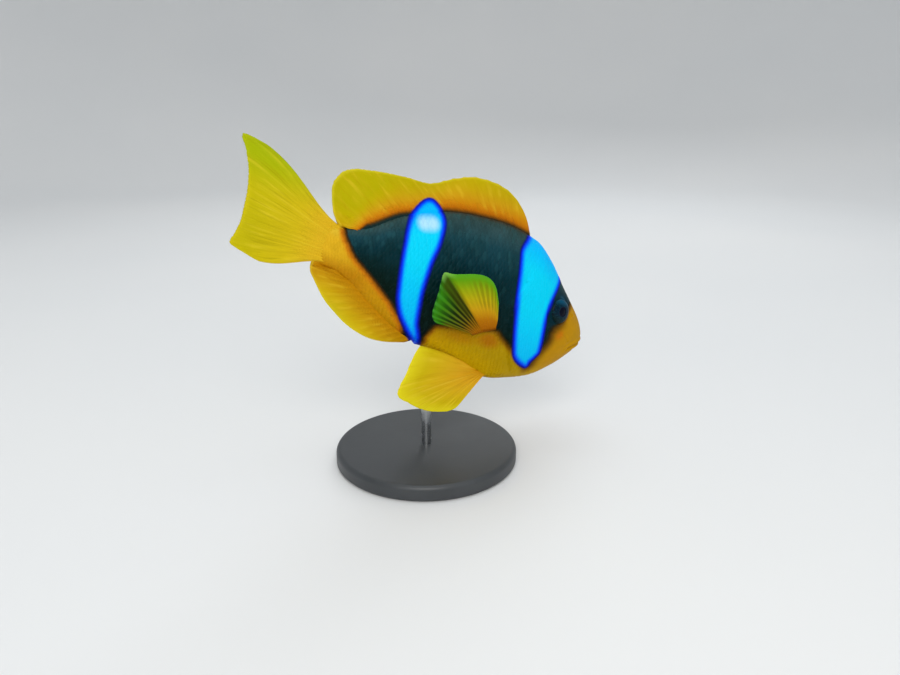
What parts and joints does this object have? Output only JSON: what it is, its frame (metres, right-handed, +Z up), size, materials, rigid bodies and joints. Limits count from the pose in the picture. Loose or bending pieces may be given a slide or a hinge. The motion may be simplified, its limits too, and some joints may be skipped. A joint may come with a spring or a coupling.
{
  "type": "two-band anemonefish",
  "caption": "Life-size still model of a two-band anemonefish, yellow fins spread and head down, held by an upright rod on a plain round display base.",
  "frame": {"origin": "centre of the stand base's underside, on the table", "axes": "+X towards the fish's head, +Y to the fish's left, +Z up"},
  "size_m": [0.1096, 0.056, 0.0999],
  "materials": {
    "skin": "scaled skin, black flanks with blue bars and a gold belly and tail, satin",
    "fin": "thin yellow fin membrane over fine rays, satin",
    "eye": "dark glossy eye",
    "stand_base": "satin dark grey paint",
    "stand_rod": "brushed"
  },
  "bodies": {
    "root": {"head": "skin", "lower_jaw": "skin", "gill_cover_right": "skin", "gill_cover_left": "skin", "trunk": "skin", "tail_stalk": "skin", "dorsal_fin_spiny": "fin", "dorsal_fin_soft": "fin", "anal_fin": "fin", "tail_fin": "fin", "pectoral_fin_left": "fin", "pectoral_fin_right": "fin", "pelvic_fin_left": "fin", "pelvic_fin_right": "fin", "eye_left": "eye", "eye_right": "eye", "stand_base": "stand_base", "stand_rod": "stand_rod"}
  },
  "joints": []
}
